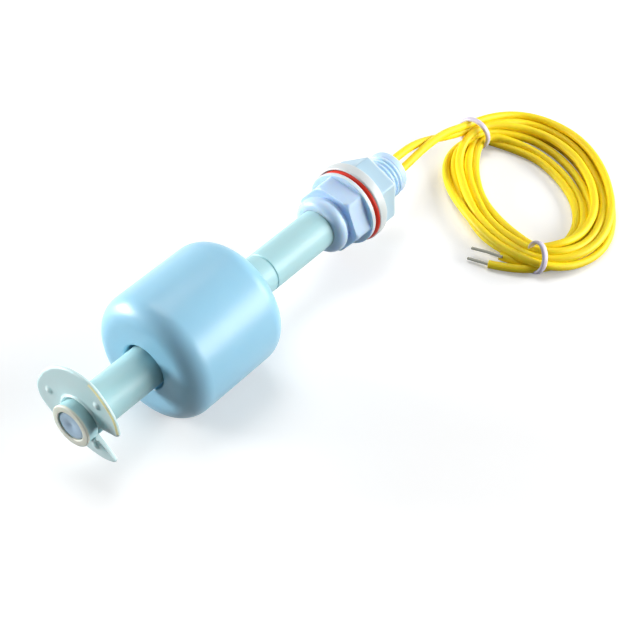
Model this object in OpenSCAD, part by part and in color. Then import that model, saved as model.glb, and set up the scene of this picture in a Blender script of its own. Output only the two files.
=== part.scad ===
// A vertical float switch lying on its float, with two flying leads tied into a coil.
// Millimetres, +Z up. The stem runs along X with the threaded end at +X.

/* [Stem] */
// Stem outside diameter
stem_d = 8.0; // [7:0.1:9]
// Stem bore diameter
stem_bore_d = 5.5; // [5:0.1:6]
// Free length of the stem in front of the collar
stem_free = 66.6; // [60:0.2:80]
// Depth of the stem in the fitting's socket
socket_depth = 4.9; // [4:0.1:6]
// Depth of the end plug's face inside the stem
plug_recess = 0.45; // [0.2:0.05:1]
// Inner end of the end plug, from the stem's free end
plug_end = 4.0; // [3.5:0.1:4.5]
// Centre of the fine ring groove, from the free end
ring_groove_at = 50.0; // [46:0.5:60]

/* [Clip] */
// Front face of the clip's disc, from the free end
clip_at = 2.6; // [2:0.1:3]
// Thickness of the clip's disc
clip_t = 0.9; // [0.7:0.05:1.2]
// Diameter of the clip's disc
clip_d = 19.6; // [18:0.2:22]
// Ratio of the disc's width to its length
clip_oval = 0.9; // [0.85:0.01:1]
// Distance from the stem's axis to the disc's centre along its length
clip_shift = 0.9; // [0:0.1:1.2]
// Distance from the stem's axis to the disc's centre across its length
clip_aside = 1.5; // [0:0.1:1.6]
// Half angle of the wedge slot in degrees
slot_half = 23; // [18:1:30]
// Depth of the clip's groove in the stem
clip_groove_deep = 0.6; // [0.4:0.05:0.8]
// Radial clearance between the clip's hole and the groove
clip_clear = 0.05; // [0.02:0.01:0.1]
// Height of the hub bead in front of the disc
hub_t = 0.6; // [0.4:0.05:0.8]

/* [Float] */
// Float diameter
float_d = 25.5; // [23:0.1:28]
// Float length
float_len = 25.1; // [22:0.1:28]
// Front face of the float from the stem's free end, where the photo has it
float_at = 17.9; // [16:0.1:22]
// Radial clearance between the float's bore and the stem
float_clear = 0.6; // [0.4:0.05:0.8]
// Round of the float's outer edges
float_edge = 4.3; // [3:0.1:4.4]
// Wall thickness of the float
float_wall = 1.2; // [0.9:0.1:1.6]
// Wall of the float's inner tube
tube_wall = 1.0; // [0.8:0.1:1.2]
// Length of the ring magnet
magnet_len = 6.0; // [5:0.1:8]
// Radial thickness of the ring magnet
magnet_t = 1.9; // [1.5:0.1:2]
// Front face of the magnet inside the float
magnet_at = 10.5; // [9:0.1:12]

/* [Fitting] */
// Collar diameter
collar_d = 11.8; // [11:0.1:13]
// Collar length
collar_len = 2.1; // [1.8:0.1:3]
// Neck length between collar and hex
neck_len = 1.3; // [1:0.1:1.6]
// Size of the fitting's hex across flats
hex_af = 12.8; // [12:0.1:13.2]
// Length of the fitting's hex
hex_len = 4.2; // [3.6:0.1:5]
// Diameter of the sealing flange
flange_d = 15.4; // [15:0.1:16.4]
// Thickness of the sealing flange
flange_t = 1.0; // [0.8:0.1:1.6]
// Outside diameter of the threaded shank
shank_d = 9.5; // [9.4:0.05:9.6]
// Length of the threaded shank
shank_len = 15.0; // [14:0.1:18]
// Depth of the free thread root behind the nut
root_deep = 0.45; // [0.3:0.05:0.6]
// Length of the potting plug
potting_len = 5.7; // [4:0.1:6.5]

/* [Seal] */
// Mean diameter of the O-ring
ring_mean_d = 13.9; // [13.6:0.1:14.2]
// Section diameter of the O-ring
ring_section = 1.7; // [1.5:0.05:1.9]
// Gap between the O-ring and each seat
seat_gap = 0.03; // [0.02:0.01:0.06]

/* [Nut] */
// Depth of the nut's recess for the O-ring
recess_deep = 0.9; // [0.7:0.05:1]
// Diameter of the nut's flange
nut_flange_d = 16.4; // [16.2:0.1:18]
// Thickness of the nut's flange
nut_flange_t = 2.45; // [2:0.05:3]
// Size of the nut's hex across flats
nut_af = 13.2; // [12.4:0.1:13.8]
// Length of the nut's hex
nut_hex_len = 4.9; // [4:0.1:5.5]
// Radial clearance between nut and shank
nut_clear = 0.08; // [0.05:0.01:0.1]
// Distance from the nut's rear face to the free thread root
root_after = 0.2; // [0.1:0.05:0.4]

/* [Reed] */
// Distance of each wire line from the stem's axis
line_off = 1.3; // [1.2:0.05:1.35]
// Glass envelope diameter
glass_d = 2.2; // [2:0.05:2.3]
// Glass envelope length
glass_len = 13.0; // [12:0.5:14]
// Front end of the glass from the stem's free end
glass_at = 10.5; // [10:0.1:11]
// Gap between the blades with the float where the photo has it
reed_gap = 0.12; // [0.12:0.01:0.16]
// Blade thickness
blade_t = 0.25; // [0.2:0.01:0.3]
// Blade width
blade_w = 0.9; // [0.7:0.05:1]
// Diameter of the reed's leads and of the return wire
wire_d = 0.6; // [0.5:0.05:0.7]
// Diameter of a solder joint
solder_d = 1.24; // [1.1:0.02:1.3]
// Length of a rear solder joint
solder_len = 3.0; // [2:0.1:4]
// Bare wire between the glass and the rear solder joints
bare_len = 1.5; // [1:0.1:3]
// Length of the shrink sleeves
sleeve_len = 6.8; // [5:0.1:9]
// Wall of the shrink sleeves
sleeve_wall = 0.2; // [0.1:0.02:0.25]

/* [Leads] */
// Insulation diameter of the leads
lead_d = 1.7; // [1.5:0.05:1.9]
// Diameter of the twisted conductor at the stripped ends
strand_d = 0.65; // [0.5:0.05:0.8]
// Height of the coil
coil_h = 3.4; // [3:0.1:4]
// Outside diameter of the ties
tie_d = 6.8; // [6:0.1:7.5]
// Wall of the ties
tie_wall = 0.6; // [0.4:0.1:0.8]
// Width of the ties along the bundle
tie_width = 1.3; // [1:0.1:1.6]

/* [Hidden] */

// Stations along the stem, from its free end.
s_collar = stem_free;
s_neck = s_collar + collar_len;
s_hex = s_neck + neck_len;
s_flange = s_hex + hex_len;
s_seal = s_flange + flange_t;
s_end = s_seal + shank_len;
s_socket = s_collar + socket_depth;
s_potting = s_end - 0.5;
s_cavity = s_potting - potting_len;
s_ring = s_seal + seat_gap + ring_section / 2;
s_nut = s_ring + ring_section / 2 + seat_gap - recess_deep;
s_nut_hex = s_nut + nut_flange_t;
s_nut_end = s_nut_hex + nut_hex_len;
s_root = s_nut_end + root_after;
s_bend = plug_end + 2.5;
s_front = s_bend + 1.5;
s_front_end = s_front + 2.5;
s_glass_mid = glass_at + glass_len / 2;
s_glass_end = glass_at + glass_len;
s_solder = s_glass_end + bare_len;
s_core = s_solder + solder_len;
s_jacket = s_core + 1;
s_sleeve = s_solder - 0.8;

axis_z = float_d / 2;
stem_r = stem_d / 2;
bore_r = stem_bore_d / 2;
groove_r = stem_r - clip_groove_deep;
socket_r = stem_r + 0.05;
shank_r = shank_d / 2;
wire_r = wire_d / 2;
solder_r = solder_d / 2;
seal_len = 1.4;
lead_r = lead_d / 2;
view_turn = -56;
slot_turn = 274;

float_bore = stem_r + float_clear;
tube_r = float_bore + tube_wall;
mag_in = tube_r + 0.1;
mag_out = mag_in + magnet_t;
cap_r = tube_r + 2.6;
edge_r = min(float_edge, axis_z - cap_r - 0.2);

// Where the outside world's X meets the stem's stations.
function wx(s) = s - s_end / 2;
function arc(cx, cy, r, a0, a1, n) =
    [for (i = [0:n]) [cx + r * cos(a0 + (a1 - a0) * i / n), cy + r * sin(a0 + (a1 - a0) * i / n)]];
function unit(v) = v / norm(v);

// Lead routes behind the potting: X from the shank's end, Y, and height.
A_ROUTE = [[-0.5, -1.08, 12.02], [1.9, -1.08, 12.02], [5.9, -0.8, 12.0], [9.9, -0.2, 11.7],
    [13.9, 0.4, 11.1], [17.7, 1.0, 10.2], [21.7, 1.6, 9.1], [25.5, 2.0, 7.8], [29.0, 2.3, 6.4],
    [31.6, 2.4, 5.3], [33.6, 2.4, 4.1]];
B_ROUTE = [[-0.5, 1.08, 13.48], [1.9, 1.08, 13.48], [5.5, 1.5, 13.2], [9.5, 2.0, 12.3],
    [13.5, 2.5, 10.9], [17.5, 2.7, 9.1], [21.5, 2.7, 7.2], [25.5, 2.6, 5.3], [28.6, 2.6, 3.9],
    [31.0, 2.5, 2.9]];
TAIL_A = [[5.6, -33.2, 2.6], [3.6, -31.0, 2.6], [2.6, -28.6, 2.5], [2.2, -26.1, 2.4]];
TAIL_B = [[4.4, -34.4, 1.6], [2.4, -32.0, 1.0], [1.4, -28.2, 1.1], [0.1, -24.5, 1.0]];
COND_A = [[2.2, -26.1, 2.4], [1.9, -23.0, 2.2], [1.3, -19.9, 1.9]];
COND_B = [[0.1, -24.5, 1.0], [-0.2, -22.4, 0.8], [-0.6, -20.3, 0.7]];

// The coil's outline: an ellipse that steps in at the upper tie, and a band that narrows at both.
coil_c = [25.7, -17.8];
coil_a = 28.2;
coil_b = 17.2;
coil_turn = 47.1;
upper_t = 40;
lower_t = 163;
function bump(a) = exp(-pow(a / 25, 2));
function upper(t) = bump(t - upper_t) + bump(t - upper_t - 360);
function step_in(t) = 1.6 * upper(t);
function band(t) = 8.7 - 2.0 * upper(t) - 3.6 * bump(t - lower_t);
function on_coil(t, inward) = let (
        n = unit([cos(t) / coil_a, sin(t) / coil_b]),
        p = [coil_a * cos(t), coil_b * sin(t)] - inward * n)
    coil_c + [p[0] * cos(coil_turn) - p[1] * sin(coil_turn),
              p[0] * sin(coil_turn) + p[1] * cos(coil_turn)];
function across(t) = let (d = on_coil(t, 1) - on_coil(t, 0)) atan2(d[1], d[0]);

// Heights follow the axis height, so that a lead still meets the shank on another float.
function lift(p) = [p[0] + s_end / 2, p[1], p[2] * axis_z / 12.75];
function shift(p) = [p[0] + s_end / 2, p[1], p[2]];

module along(s) {
    translate([wx(s), 0, axis_z]) rotate([0, 90, 0]) children();
}
// side = 1 for the line of lead A, -1 for the line of lead B.
module on_line(s, side) {
    along(s) rotate([0, 0, view_turn]) translate([side * line_off, 0, 0]) children();
}
module ring(r_in, r_out, h) {
    difference() {
        cylinder(r = r_out, h = h, $fn = 64);
        translate([0, 0, -1]) cylinder(r = r_in, h = h + 2, $fn = 64);
    }
}
module tube_along(path, r, sides) {
    n = len(path);
    pts = [for (i = [0:n - 1]) let (
            d0 = unit(path[max(i, 1)] - path[max(i, 1) - 1]),
            d1 = unit(path[min(i, n - 2) + 1] - path[min(i, n - 2)]),
            d = unit(d0 + d1),
            u = unit(cross(d, [0, 0, 1])),
            v = cross(u, d))
        for (k = [0:sides - 1]) path[i] + r * (cos(360 * k / sides) * u + sin(360 * k / sides) * v)];
    walls = [for (i = [0:n - 2]) for (k = [0:sides - 1])
        [i * sides + k, i * sides + (k + 1) % sides,
         (i + 1) * sides + (k + 1) % sides, (i + 1) * sides + k]];
    caps = [[for (k = [sides - 1:-1:0]) k], [for (k = [0:sides - 1]) (n - 1) * sides + k]];
    polyhedron(points = pts, faces = concat(walls, caps));
}

module fitting_body() {
    color("#bcd3f5") along(0) difference() {
        union() {
            rotate_extrude($fn = 64) polygon(concat(
                [[0, s_collar]],
                arc(collar_d / 2 - 1.6, s_collar + 1.6, 1.6, -90, 0, 5),
                [[collar_d / 2, s_neck], [collar_d / 2 - 0.55, s_neck], [collar_d / 2 - 0.55, s_hex],
                 [collar_d / 2 - 0.55, s_flange], [flange_d / 2 - 0.15, s_flange],
                 [flange_d / 2, s_flange + 0.15], [flange_d / 2, s_seal], [shank_r, s_seal],
                 [shank_r, s_root], [shank_r - root_deep, s_root],
                 [shank_r - root_deep, s_root + 0.6], [shank_r, s_root + 0.6]],
                arc(shank_r - 1, s_end - 1, 1, 0, 90, 4),
                [[0, s_end]]));
            intersection() {
                translate([0, 0, s_hex]) rotate([0, 0, 38.7])
                    cylinder(r = hex_af / sqrt(3), h = hex_len, $fn = 6);
                translate([0, 0, s_hex])
                    cylinder(r1 = hex_af / 2, r2 = hex_af / 2 + 6, h = 6, $fn = 64);
            }
        }
        translate([0, 0, s_collar - 1]) cylinder(r = socket_r, h = socket_depth + 1, $fn = 64);
        translate([0, 0, s_collar - 1]) cylinder(r = socket_r + 0.4, h = 1.3, $fn = 64);
        translate([0, 0, s_collar]) cylinder(r = bore_r + 0.1, h = 40, $fn = 64);
        translate([0, 0, s_cavity]) cylinder(r = bore_r + 0.35, h = 40, $fn = 64);
    }
}
module stem_tube() {
    color("#b5dbe0") along(0) rotate_extrude($fn = 64) polygon([
        [bore_r, 0], [stem_r - 0.15, 0], [stem_r, 0.15],
        [stem_r, clip_at], [groove_r, clip_at],
        [groove_r, clip_at + clip_t + 0.1], [stem_r, clip_at + clip_t + 0.1],
        [stem_r, ring_groove_at - 0.3], [stem_r - 0.25, ring_groove_at - 0.15],
        [stem_r - 0.25, ring_groove_at + 0.15], [stem_r, ring_groove_at + 0.3],
        [stem_r, s_socket], [bore_r, s_socket]]);
}
module stem_end_plug() {
    color("#a9b4e8") along(plug_recess) difference() {
        cylinder(r = bore_r, h = plug_end - plug_recess, $fn = 64);
        translate([0, 0, -1]) cylinder(r = 0.7, h = 1.5, $fn = 32);
    }
}
module retaining_clip() {
    color("#cfe8ea") along(clip_at) rotate([0, 0, slot_turn]) difference() {
        union() {
            translate([-clip_shift, -clip_aside, 0]) scale([1, clip_oval, 1])
                rotate_extrude($fn = 64) polygon(concat(
                    [[0, 0]], arc(clip_d / 2 - 0.4, 0.4, 0.4, -90, 0, 3),
                    arc(clip_d / 2 - 0.4, clip_t - 0.4, 0.4, 0, 90, 3), [[0, clip_t]]));
            translate([0, 0, -hub_t]) ring(stem_r + 0.1, stem_r + 1.2, hub_t);
            for (p = [[-7.5, -1.5], [4.1, -6.1], [3.1, 4.7]])
                translate([p[0], p[1], -0.5]) cylinder(r1 = 0.4, r2 = 0.6, h = 0.6, $fn = 24);
        }
        translate([0, 0, -1]) cylinder(r = groove_r + clip_clear, h = 3, $fn = 64);
        translate([0, 0, -2]) rotate([0, 0, 13]) linear_extrude(5) polygon([[0, 0],
            [20 * cos(slot_half), 20 * sin(slot_half)],
            [20 * cos(slot_half), -20 * sin(slot_half)]]);
    }
}
module potting_plug() {
    color("#2b2d33") difference() {
        along(s_cavity) cylinder(r = bore_r + 0.35, h = potting_len, $fn = 64);
        for (side = [1, -1])
            on_line(s_cavity - 1, side) cylinder(r = lead_r, h = potting_len + 2, $fn = 32);
    }
}

module reed_glass() {
    color("#bfe3cf") on_line(glass_at, 1) difference() {
        cylinder(r = glass_d / 2, h = glass_len, $fn = 32);
        translate([0, 0, seal_len])
            cylinder(r = glass_d / 2 - 0.3, h = glass_len - 2 * seal_len, $fn = 32);
        translate([0, 0, -1]) cylinder(r = wire_r, h = glass_len + 2, $fn = 24);
    }
}
// Blades lie one above the other in the glass, whatever the line's angle.
module blade(s0, s1, up) {
    on_line(s0, 1) rotate([0, 0, -view_turn])
        translate([-up - blade_t / 2, -blade_w / 2, 0]) cube([blade_t, blade_w, s1 - s0]);
}
module reed_blade_fixed() {
    color("#c9c9c4") {
        blade(s_glass_mid + 0.1, s_glass_end - seal_len + 0.2, -reed_gap / 2 - blade_t / 2);
        on_line(s_glass_end - seal_len - 0.1, 1)
            cylinder(r = wire_r, h = bare_len + seal_len + 0.1, $fn = 24);
    }
}
module reed_lead_front() {
    color("#c9c9c4") {
        on_line(s_bend, 1) cylinder(r = wire_r, h = glass_at + seal_len + 0.1 - s_bend, $fn = 24);
        along(s_bend) rotate([0, 0, view_turn]) rotate([-90, 0, 0])
            rotate_extrude(angle = 180, $fn = 32) translate([line_off, 0])
                circle(r = wire_r, $fn = 24);
        on_line(s_bend, -1) cylinder(r = wire_r, h = s_front - s_bend, $fn = 24);
    }
}
module reed_blade_moving() {
    color("#c9c9c4") blade(glass_at + seal_len + 0.15, s_glass_mid + 0.7,
        reed_gap / 2 + blade_t / 2);
}
module return_wire() {
    color("#c98a5a") on_line(s_front_end, -1)
        cylinder(r = wire_r, h = s_solder - s_front_end, $fn = 24);
}
module solder_joints() {
    color("#b9bcc0") {
        on_line(s_front, -1) cylinder(r = solder_r, h = s_front_end - s_front, $fn = 24);
        on_line(s_solder, 1) cylinder(r = solder_r, h = solder_len, $fn = 24);
        on_line(s_solder, -1) cylinder(r = solder_r, h = solder_len, $fn = 24);
    }
}
module shrink_sleeves() {
    color("#23262b") for (side = [1, -1]) on_line(s_sleeve, side) difference() {
        cylinder(r = lead_r + sleeve_wall, h = sleeve_len, $fn = 32);
        translate([0, 0, -1]) cylinder(r = lead_r, h = sleeve_len + 2, $fn = 32);
    }
}
module lead_inner(side) {
    on_line(s_core, side) cylinder(r = 0.33, h = s_jacket - s_core + 0.2, $fn = 24);
    on_line(s_jacket, side) cylinder(r = lead_r, h = s_potting - s_jacket, $fn = 32);
}
module lead_inner_a() { color("#fce21a") lead_inner(1); }
module lead_inner_b() { color("#fce21a") lead_inner(-1); }

module float_shell() {
    color("#9fd3eb") along(float_at) rotate_extrude($fn = 64) polygon(concat(
        arc(float_bore + 0.5, 0.5, 0.5, 270, 180, 3),
        arc(float_bore + 0.5, float_len - 0.5, 0.5, 180, 90, 3),
        [[tube_r, float_len], [tube_r, magnet_at], [tube_r + 1, magnet_at],
         [tube_r + 1, magnet_at - 1.5], [tube_r, magnet_at - 1.5], [tube_r, float_wall]],
        arc(axis_z - edge_r, edge_r, edge_r - float_wall, -90, 0, 5),
        arc(axis_z - edge_r, float_len - edge_r, edge_r - float_wall, 0, 90, 5),
        [[cap_r + 0.8, float_len - float_wall], [cap_r + 0.8, float_len - 1.8],
         [cap_r - 0.3, float_len - 1.8], [cap_r - 0.3, float_len - 0.9],
         [cap_r + 0.05, float_len - 0.9], [cap_r + 0.05, float_len]],
        arc(axis_z - edge_r, float_len - edge_r, edge_r, 90, 0, 8),
        arc(axis_z - edge_r, edge_r, edge_r, 0, -90, 8)));
}
module float_cap() {
    color("#9fd3eb") along(float_at) rotate_extrude($fn = 64) polygon([
        [mag_in, float_len], [mag_in, magnet_at + magnet_len],
        [mag_out, magnet_at + magnet_len], [mag_out, float_len - 0.9],
        [cap_r, float_len - 0.9], [cap_r, float_len]]);
}
module ring_magnet() {
    color("#3a3c40") along(float_at + magnet_at) ring(mag_in, mag_out, magnet_len);
}
module o_ring() {
    color("#c0220f") along(s_ring) rotate_extrude($fn = 64)
        translate([ring_mean_d / 2, 0]) circle(d = ring_section, $fn = 16);
}
module flange_nut() {
    color("#bfd9e6") along(s_nut) difference() {
        union() {
            rotate_extrude($fn = 64) polygon(concat(
                [[0, 0]], arc(nut_flange_d / 2 - 0.4, 0.4, 0.4, -90, 0, 3),
                arc(nut_flange_d / 2 - 0.5, nut_flange_t - 0.5, 0.5, 0, 90, 3),
                [[0, nut_flange_t]]));
            intersection() {
                translate([0, 0, 1]) rotate([0, 0, -2.5])
                    cylinder(r = nut_af / sqrt(3), h = nut_flange_t + nut_hex_len - 1, $fn = 6);
                cylinder(r1 = nut_af / 2 + nut_flange_t + nut_hex_len, r2 = nut_af / 2,
                    h = nut_flange_t + nut_hex_len, $fn = 64);
            }
        }
        translate([0, 0, -1]) cylinder(r = shank_r + nut_clear, h = 20, $fn = 64);
        translate([0, 0, -1]) cylinder(r = ring_mean_d / 2 + ring_section / 2 + 0.05,
            h = recess_deep + 1, $fn = 64);
    }
}

module lead_a() { color("#fce21a") tube_along([for (p = A_ROUTE) lift(p)], lead_r, 8); }
module lead_b() { color("#fce21a") tube_along([for (p = B_ROUTE) lift(p)], lead_r, 8); }
module lead_coil() {
    outer = [for (t = [0:5:355]) on_coil(t, step_in(t))];
    inner = [for (t = [0:5:355]) on_coil(t, band(t))];
    n = len(outer);
    color("#fce21a") translate([s_end / 2, 0, 0]) linear_extrude(coil_h)
        polygon(concat(outer, inner), [[for (i = [0:n - 1]) i], [for (i = [0:n - 1]) n + i]]);
}
// A tie is a round loop about the bundle, across its run, resting on the floor.
module tie(t) {
    c = (on_coil(t, step_in(t)) + on_coil(t, band(t))) / 2;
    color("#e9e4f2") translate([c[0] + s_end / 2, c[1], tie_d / 2]) rotate([90, 0, across(t)])
        translate([0, 0, -tie_width / 2]) ring(tie_d / 2 - tie_wall, tie_d / 2, tie_width);
}
module tie_upper() { tie(upper_t); }
module tie_lower() { tie(lower_t); }
module tail_a() { color("#fce21a") tube_along([for (p = TAIL_A) shift(p)], lead_r, 8); }
module tail_b() { color("#fce21a") tube_along([for (p = TAIL_B) shift(p)], lead_r, 8); }
module conductor_a() {
    color("#9a9a92") tube_along([for (p = COND_A) shift(p)], strand_d / 2, 8);
}
module conductor_b() {
    color("#9a9a92") tube_along([for (p = COND_B) shift(p)], strand_d / 2, 8);
}

fitting_body();
stem_tube();
stem_end_plug();
retaining_clip();
potting_plug();
reed_glass();
reed_blade_fixed();
reed_lead_front();
return_wire();
solder_joints();
shrink_sleeves();
lead_inner_a();
lead_inner_b();
reed_blade_moving();
float_shell();
float_cap();
ring_magnet();
o_ring();
flange_nut();
lead_a();
lead_b();
lead_coil();
tie_upper();
tie_lower();
tail_a();
tail_b();
conductor_a();
conductor_b();
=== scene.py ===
# %% [markdown]
# # A float switch and its tied leads
# A float with a magnet slides on a stem and works a reed contact inside it. The packed
# CAD frame brings every solid, already in its place. This lesson sets up the camera,
# then dresses the leads, the stem, the clip, the float, the fitting, the nut and the ties.
# Sizes are written in millimetres, as on a drawing, and each piece is turned to metres
# in its last step, because the frame is in metres.

# %% Start
import math
import bmesh
import bpy
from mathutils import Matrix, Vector


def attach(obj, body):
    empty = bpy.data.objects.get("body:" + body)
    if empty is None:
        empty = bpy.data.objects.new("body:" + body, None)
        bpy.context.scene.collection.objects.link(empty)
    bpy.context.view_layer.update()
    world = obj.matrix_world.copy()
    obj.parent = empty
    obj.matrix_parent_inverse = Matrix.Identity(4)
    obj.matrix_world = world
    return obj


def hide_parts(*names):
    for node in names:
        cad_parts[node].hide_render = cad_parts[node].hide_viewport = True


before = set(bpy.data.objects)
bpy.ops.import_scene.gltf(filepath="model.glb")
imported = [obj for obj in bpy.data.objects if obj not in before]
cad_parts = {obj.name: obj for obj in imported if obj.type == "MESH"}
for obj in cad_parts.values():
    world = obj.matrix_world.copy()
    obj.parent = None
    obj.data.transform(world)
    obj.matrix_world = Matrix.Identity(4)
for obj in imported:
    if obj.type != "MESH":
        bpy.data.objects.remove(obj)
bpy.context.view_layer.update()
print("frame:", len(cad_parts), "nodes")

MM = 0.001
AXIS_HIGH = 12.75  # the stem's axis above the floor
HALF_LONG = 45.1   # stations run along the stem from its free end, at x = -45.1

# %% [markdown]
# ## The camera
# The photo was taken from above the clip's end, with a long lens. Its place and lens were
# solved from round things whose circles look oval in it: the stem's end, the float's edge
# and the nut's flange. A solved camera makes each later comparison a fair one.

# %% Camera
cam = bpy.data.objects.new("camera", bpy.data.cameras.new("camera"))
bpy.context.scene.collection.objects.link(cam)
bpy.context.scene.camera = cam
cam.data.sensor_width = 36
cam.data.lens = 84.375
cam.data.clip_start, cam.data.clip_end = 0.01, 10
cam.location = (-0.153247, -0.139940, 0.197951)
cam.rotation_euler = (math.radians(90 - 43.0755), 0, math.radians(-51.4404))
print("camera at", [round(v, 3) for v in cam.location])

# %% [markdown]
# ## Where the leads run
# Two thin insulated wires leave the potting, go three times round a flat coil and end
# stripped. They could be simulated, but a cord that lies still is easier to hold to the
# photo when its route is a list of points. These are the CAD's own points, 4.8 mm apart.

# %% Routes
LEAD_WIDE = 1.7
A_PATH = [
    (44.6, -1.1, 12.0), (49.4, -0.9, 12.0), (54.1, -0.3, 11.7), (58.8, 0.4, 11.0), (63.4, 1.1, 9.9),
    (68.0, 1.7, 8.5), (72.5, 1.9, 6.9), (77.1, 1.7, 5.6), (81.7, 0.7, 4.9), (86.1, -1.1, 4.1),
    (89.8, -3.9, 3.2), (91.8, -8.2, 2.7), (92.0, -13.0, 2.5), (90.9, -17.6, 2.5), (88.8, -21.9, 2.5),
    (86.0, -25.8, 2.5), (82.7, -29.3, 2.6), (79.1, -32.4, 2.6), (75.2, -35.2, 2.6), (70.9, -37.3, 2.6),
    (66.3, -38.8, 2.6), (61.6, -39.2, 2.6), (56.9, -38.1, 2.6), (53.0, -35.4, 2.7), (50.7, -31.3, 2.9),
    (51.0, -26.6, 2.7), (52.1, -21.9, 2.6), (54.0, -17.5, 2.5), (56.5, -13.4, 2.4), (59.5, -9.7, 2.4),
    (62.8, -6.2, 2.5), (66.3, -3.0, 2.8), (70.4, -0.7, 3.7), (75.0, 0.0, 4.8), (79.6, -0.9, 4.7),
    (83.3, -3.7, 4.1), (86.2, -7.4, 3.0), (87.2, -12.0, 2.6), (86.4, -16.7, 2.5), (84.5, -21.1, 2.5),
    (81.8, -25.0, 2.4), (78.5, -28.5, 2.5), (74.7, -31.5, 2.5), (70.5, -33.7, 2.7), (65.9, -35.1, 2.9),
    (61.2, -35.4, 3.2), (56.7, -34.0, 3.6), (53.5, -30.8, 3.1), (54.4, -26.1, 2.7), (56.0, -21.6, 2.4),
    (58.2, -17.4, 1.9), (60.9, -13.5, 1.3), (64.1, -9.9, 0.9), (67.6, -6.7, 0.9), (71.4, -3.9, 1.2),
    (75.7, -1.9, 2.3), (79.6, -2.5, 2.6), (81.7, -6.8, 1.9), (82.6, -11.4, 1.2), (81.8, -16.1, 0.9),
    (80.0, -20.5, 0.9), (77.5, -24.6, 0.9), (74.5, -28.3, 0.9), (70.8, -31.4, 1.2), (66.6, -33.7, 1.5),
    (61.9, -34.5, 1.8), (57.2, -34.3, 2.1), (52.8, -32.6, 2.1), (50.9, -28.4, 1.2), (51.0, -23.6, 0.9),
    (52.1, -19.0, 0.9), (54.4, -14.8, 0.9), (57.3, -11.0, 0.9), (60.4, -7.3, 0.9), (63.7, -3.9, 0.9),
    (67.5, -0.9, 1.1), (71.8, 0.7, 2.3), (76.3, -0.1, 3.6), (80.5, -2.1, 3.3), (83.6, -5.5, 2.2),
    (85.5, -9.8, 1.3), (85.2, -14.5, 0.9), (83.5, -19.0, 0.9), (81.1, -23.2, 0.9), (78.2, -26.9, 0.9),
    (74.8, -30.3, 0.9), (70.9, -33.1, 0.9), (66.5, -35.0, 0.9), (61.8, -35.7, 0.9), (57.1, -35.1, 0.9),
    (52.6, -33.5, 1.1), (49.4, -30.2, 1.4), (48.0, -25.6, 1.8)]
B_PATH = [
    (44.6, 1.1, 13.5), (49.3, 1.3, 13.2), (54.0, 1.9, 12.3), (58.5, 2.3, 10.9), (63.0, 2.5, 9.1),
    (67.3, 2.5, 7.2), (71.8, 2.3, 5.5), (76.4, 1.5, 4.4), (80.8, -0.1, 3.9), (84.9, -2.5, 3.5),
    (88.6, -5.3, 2.4), (90.7, -9.4, 1.5), (90.8, -14.1, 1.0), (89.2, -18.6, 0.9), (86.7, -22.6, 0.9),
    (83.6, -26.3, 0.9), (80.3, -29.7, 1.1), (76.6, -32.7, 1.6), (72.5, -35.0, 2.0), (68.0, -36.6, 2.4),
    (63.3, -37.5, 2.6), (58.6, -37.0, 2.9), (54.4, -34.8, 3.4), (52.2, -30.8, 3.3), (52.7, -26.1, 2.9),
    (54.1, -21.5, 2.5), (56.1, -17.3, 2.2), (59.0, -13.4, 1.8), (62.1, -9.9, 1.4), (65.5, -6.5, 1.2),
    (69.2, -3.5, 1.5), (73.3, -1.2, 2.1), (77.9, 0.1, 2.5), (82.6, -0.0, 2.2), (87.1, -1.5, 1.6),
    (90.5, -4.8, 1.0), (92.2, -9.2, 0.9), (92.4, -13.9, 0.9), (91.1, -18.5, 0.9), (88.8, -22.6, 0.9),
    (85.8, -26.4, 0.9), (82.5, -29.8, 0.9), (78.9, -32.9, 0.9), (75.0, -35.7, 0.9), (70.9, -38.0, 0.9),
    (66.4, -39.7, 0.9), (61.7, -40.2, 0.9), (57.0, -39.2, 1.1), (52.8, -37.1, 1.8), (49.7, -33.7, 2.8),
    (49.2, -29.0, 2.9), (49.8, -24.3, 2.6), (51.2, -19.8, 2.5), (53.2, -15.4, 2.4), (55.6, -11.3, 2.1),
    (58.3, -7.4, 1.6), (61.4, -3.8, 1.1), (65.0, -0.6, 0.9), (69.1, 1.6, 1.0), (73.9, 2.1, 1.3),
    (78.1, 0.3, 1.6), (80.0, -3.9, 1.1), (80.8, -8.6, 0.9), (80.7, -13.4, 0.9), (79.3, -17.9, 0.9),
    (77.1, -22.2, 0.9), (74.4, -26.1, 0.9), (71.0, -29.4, 0.9), (67.0, -31.9, 0.9), (62.4, -33.2, 0.9),
    (57.6, -33.1, 1.0), (53.4, -31.5, 1.4), (53.0, -26.8, 1.1), (53.6, -22.1, 0.9), (55.1, -17.6, 0.9),
    (57.5, -13.4, 0.9), (60.5, -9.7, 0.9), (63.8, -6.2, 0.9), (67.3, -3.1, 0.9), (71.5, -0.7, 0.9),
    (76.1, -0.1, 1.5), (80.7, -1.2, 1.8), (84.9, -3.3, 1.4), (87.7, -7.1, 0.9), (88.2, -11.8, 0.9),
    (87.2, -16.5, 0.9), (85.2, -20.8, 0.9), (82.5, -24.7, 0.9), (79.3, -28.3, 0.9), (75.8, -31.5, 0.9),
    (71.9, -34.2, 0.9), (67.6, -36.3, 0.9), (63.0, -37.3, 0.9), (58.2, -37.1, 0.9), (53.6, -35.7, 1.1),
    (49.6, -33.2, 1.4), (47.0, -29.3, 1.2), (45.3, -24.8, 1.0)]
print("route points:", len(A_PATH), "and", len(B_PATH))
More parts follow.
